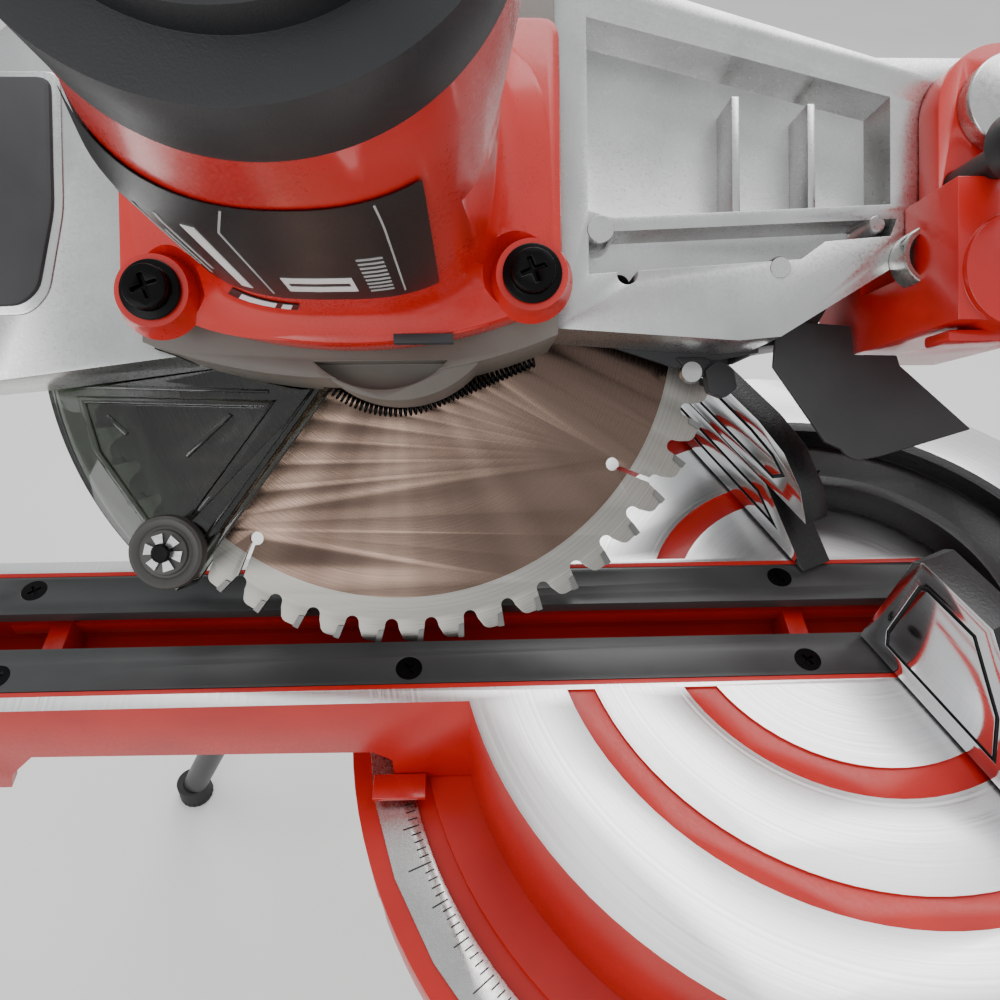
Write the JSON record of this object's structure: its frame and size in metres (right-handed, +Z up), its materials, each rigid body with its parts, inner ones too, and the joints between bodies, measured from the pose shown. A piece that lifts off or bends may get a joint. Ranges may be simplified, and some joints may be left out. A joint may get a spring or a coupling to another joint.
{
  "type": "mitre saw on stand",
  "caption": "Sliding compound mitre saw on a folding leg stand, head bevelled and pulled forward, with roller supports at both ends.",
  "frame": {"origin": "on the floor, under the middle of the stand", "axes": "+Z up, +X along the fence and the stand beams to the user's right, -Y towards the user"},
  "size_m": [1.264, 0.7318, 1.1032],
  "materials": {
    "red_paint": "satin powder coat",
    "red_plastic": "moulded",
    "machined_aluminium": "machined",
    "cast_aluminium": "die cast",
    "black_plastic": "fine texture",
    "grey_plastic": "fine texture",
    "black_steel": "powder coat",
    "blade_steel": "ground",
    "bright_steel": "polished",
    "zinc_steel": "zinc plated",
    "rubber": "matt",
    "smoked_polycarbonate": "smoked",
    "copper_winding": "enamelled",
    "stand_steel": "powder coat"
  },
  "bodies": {
    "root": {"stand_beams": "stand_steel", "mounting_brackets": "red_paint", "saw_mount_bolts": "zinc_steel", "leg_pivot_bolts": "zinc_steel", "saw_base": "red_paint", "mitre_scale": "zinc_steel", "fence": "machined_aluminium", "clamp_post": "zinc_steel"},
    "left_legs": {"left_leg_tubes": "stand_steel", "left_leg_braces": "stand_steel", "left_leg_feet": "rubber"},
    "right_legs": {"right_leg_tubes": "stand_steel", "right_leg_braces": "stand_steel", "right_leg_feet": "rubber"},
    "left_lever": {"left_bracket_lever": "black_plastic"},
    "right_lever": {"right_bracket_lever": "black_plastic"},
    "left_extension": {"left_extension_arm": "stand_steel"},
    "left_roller": {"left_support_roller": "rubber"},
    "left_knob": {"left_extension_knob": "black_plastic"},
    "right_extension": {"right_extension_arm": "stand_steel"},
    "right_roller": {"right_support_roller": "rubber"},
    "right_knob": {"right_extension_knob": "black_plastic"},
    "fence_slider": {"sliding_fence": "machined_aluminium"},
    "fence_knob": {"sliding_fence_knob": "black_plastic"},
    "clamp_foot": {"clamp_pad": "rubber"},
    "clamp_spindle": {"clamp_screw": "black_plastic"},
    "turntable": {"turntable": "red_paint", "kerf_plate_left": "black_plastic", "kerf_plate_right": "black_plastic", "kerf_plate_screws": "black_steel", "mitre_pointer": "red_plastic"},
    "mitre_lock": {"mitre_handle": "black_plastic"},
    "detent": {"detent_lever": "black_plastic"},
    "bevel": {"bevel_arm": "red_paint"},
    "bevel_lock": {"bevel_lock_lever": "black_plastic"},
    "slide_lock": {"slide_lock_knob": "black_plastic"},
    "carriage": {"slide_rails": "bright_steel", "rail_end_cap": "black_plastic", "pivot_bracket": "red_paint", "chop_pivot_pin": "zinc_steel"},
    "head_lock": {"lock_pin": "black_plastic"},
    "head": {"head_arm": "cast_aluminium", "upper_guard": "black_plastic", "dust_flap": "rubber", "gear_housing": "grey_plastic", "motor_housing": "red_plastic", "motor_end_cap": "black_plastic", "motor_screws": "black_steel", "motor_stator": "copper_winding", "main_handle": "black_plastic", "guard_spring": "black_steel"},
    "trigger": {"trigger": "red_plastic"},
    "lockoff": {"lockoff_button": "grey_plastic"},
    "armature": {"armature": "copper_winding"},
    "spindle": {"arbor_shaft": "bright_steel", "blade": "blade_steel", "blade_flanges": "zinc_steel"},
    "guard": {"lower_guard": "smoked_polycarbonate"},
    "guard_wheel": {"guard_roller": "black_plastic"}
  },
  "joints": [
    {"name": "left_leg_fold", "type": "hinge", "parent": "root", "child": "left_legs", "pos_m": [-0.36, 0, 0.701], "axis": [0, -1, 0], "range_deg": [0, 102]},
    {"name": "right_leg_fold", "type": "hinge", "parent": "root", "child": "right_legs", "pos_m": [0.36, 0, 0.653], "axis": [0, 1, 0], "range_deg": [0, 102]},
    {"name": "left_lever_swing", "type": "hinge", "parent": "root", "child": "left_lever", "pos_m": [-0.17, -0.122, 0.775], "axis": [1, 0, 0], "range_deg": [0, 70]},
    {"name": "right_lever_swing", "type": "hinge", "parent": "root", "child": "right_lever", "pos_m": [0.17, -0.122, 0.775], "axis": [1, 0, 0], "range_deg": [0, 70]},
    {"name": "left_extension_slide", "type": "slide", "parent": "root", "child": "left_extension", "axis": [-1, 0, 0], "range_m": [-0.12, 0.18]},
    {"name": "right_extension_slide", "type": "slide", "parent": "root", "child": "right_extension", "axis": [1, 0, 0], "range_m": [-0.12, 0.18]},
    {"name": "left_roller_spin", "type": "hinge", "parent": "left_extension", "child": "left_roller", "pos_m": [-0.615, 0, 0.848], "axis": [0, 1, 0], "continuous": true},
    {"name": "right_roller_spin", "type": "hinge", "parent": "right_extension", "child": "right_roller", "pos_m": [0.615, 0, 0.848], "axis": [0, 1, 0], "continuous": true},
    {"name": "left_knob_turn", "type": "hinge", "parent": "root", "child": "left_knob", "pos_m": [-0.42, -0.08, 0.724], "axis": [0, 0, 1], "range_deg": [0, 360]},
    {"name": "right_knob_turn", "type": "hinge", "parent": "root", "child": "right_knob", "pos_m": [0.42, -0.08, 0.724], "axis": [0, 0, 1], "range_deg": [0, 360]},
    {"name": "fence_slide", "type": "slide", "parent": "root", "child": "fence_slider", "axis": [-1, 0, 0], "range_m": [0, 0.055]},
    {"name": "fence_knob_turn", "type": "hinge", "parent": "fence_slider", "child": "fence_knob", "pos_m": [-0.131, -0.003, 0.8936], "axis": [0, 1, 0], "range_deg": [0, 360]},
    {"name": "clamp_press", "type": "slide", "parent": "root", "child": "clamp_foot", "axis": [0, 0, -1], "range_m": [0, 0.04]},
    {"name": "clamp_turn", "type": "hinge", "parent": "clamp_foot", "child": "clamp_spindle", "pos_m": [0.204, -0.08, 0.927], "axis": [0, 0, -1], "range_deg": [0, 3600]},
    {"name": "mitre_swing", "type": "hinge", "parent": "root", "child": "turntable", "pos_m": [0, -0.015, 0.865], "axis": [0, 0, 1], "range_deg": [-22.5, 67.5]},
    {"name": "mitre_lock_turn", "type": "hinge", "parent": "turntable", "child": "mitre_lock", "pos_m": [-0.11634, -0.29586, 0.823], "axis": [0.3827, 0.9239, 0], "range_deg": [0, 180]},
    {"name": "detent_press", "type": "hinge", "parent": "turntable", "child": "detent", "pos_m": [-0.1194, -0.30325, 0.856], "axis": [0.9239, -0.3827, 0], "range_deg": [0, 8]},
    {"name": "bevel_tilt", "type": "hinge", "parent": "turntable", "child": "bevel", "pos_m": [0, -0.015, 0.865], "axis": [0.3827, 0.9239, 0], "range_deg": [0, 45]},
    {"name": "bevel_lock_turn", "type": "hinge", "parent": "bevel", "child": "bevel_lock", "pos_m": [0.0884, 0.19842, 0.865], "axis": [0.3827, 0.9239, 0], "range_deg": [0, 60]},
    {"name": "slide_lock_turn", "type": "hinge", "parent": "bevel", "child": "slide_lock", "pos_m": [0.04941, 0.18318, 0.98005], "axis": [0.6533, -0.2706, 0.7071], "range_deg": [0, 360]},
    {"name": "head_slide", "type": "slide", "parent": "bevel", "child": "carriage", "axis": [0.3827, 0.9239, 0], "range_m": [-0.044, 0.126]},
    {"name": "lock_pin_push", "type": "slide", "parent": "carriage", "child": "head_lock", "axis": [-0.6533, 0.2706, -0.7071], "range_m": [0, 0.008]},
    {"name": "chop", "type": "hinge", "parent": "carriage", "child": "head", "pos_m": [-0.07032, 0.04011, 0.98641], "axis": [-0.6533, 0.2706, -0.7071], "range_deg": [0, 45]},
    {"name": "trigger_pull", "type": "slide", "parent": "head", "child": "trigger", "axis": [-0.3827, -0.9239, 0], "range_m": [0, 0.006], "stiffness_N_per_m": 600},
    {"name": "lockoff_press", "type": "slide", "parent": "head", "child": "lockoff", "axis": [0.6533, -0.2706, -0.7071], "range_m": [0, 0.004], "stiffness_N_per_m": 600},
    {"name": "blade_spin", "type": "hinge", "parent": "head", "child": "spindle", "pos_m": [-0.12035, -0.12318, 0.93479], "axis": [0.6533, -0.2706, 0.7071], "continuous": true},
    {"name": "motor_spin", "type": "hinge", "parent": "head", "child": "armature", "pos_m": [-0.13916, -0.12037, 0.95325], "axis": [0.6533, -0.2706, 0.7071], "continuous": true},
    {"name": "guard_swing", "type": "hinge", "parent": "head", "child": "guard", "pos_m": [-0.12035, -0.12318, 0.93479], "axis": [0.6533, -0.2706, 0.7071], "range_deg": [0, 100]},
    {"name": "guard_roller_spin", "type": "hinge", "parent": "guard", "child": "guard_wheel", "pos_m": [-0.09984, -0.20724, 0.88367], "axis": [0.6533, -0.2706, 0.7071], "continuous": true}
  ],
  "couplings": [
    {"joint": "motor_spin", "follows": "blade_spin", "ratio": -3.8182},
    {"joint": "guard_swing", "follows": "chop", "ratio": 2.2},
    {"joint": "clamp_press", "follows": "clamp_turn", "m_per_rad": 0.00063662}
  ]
}
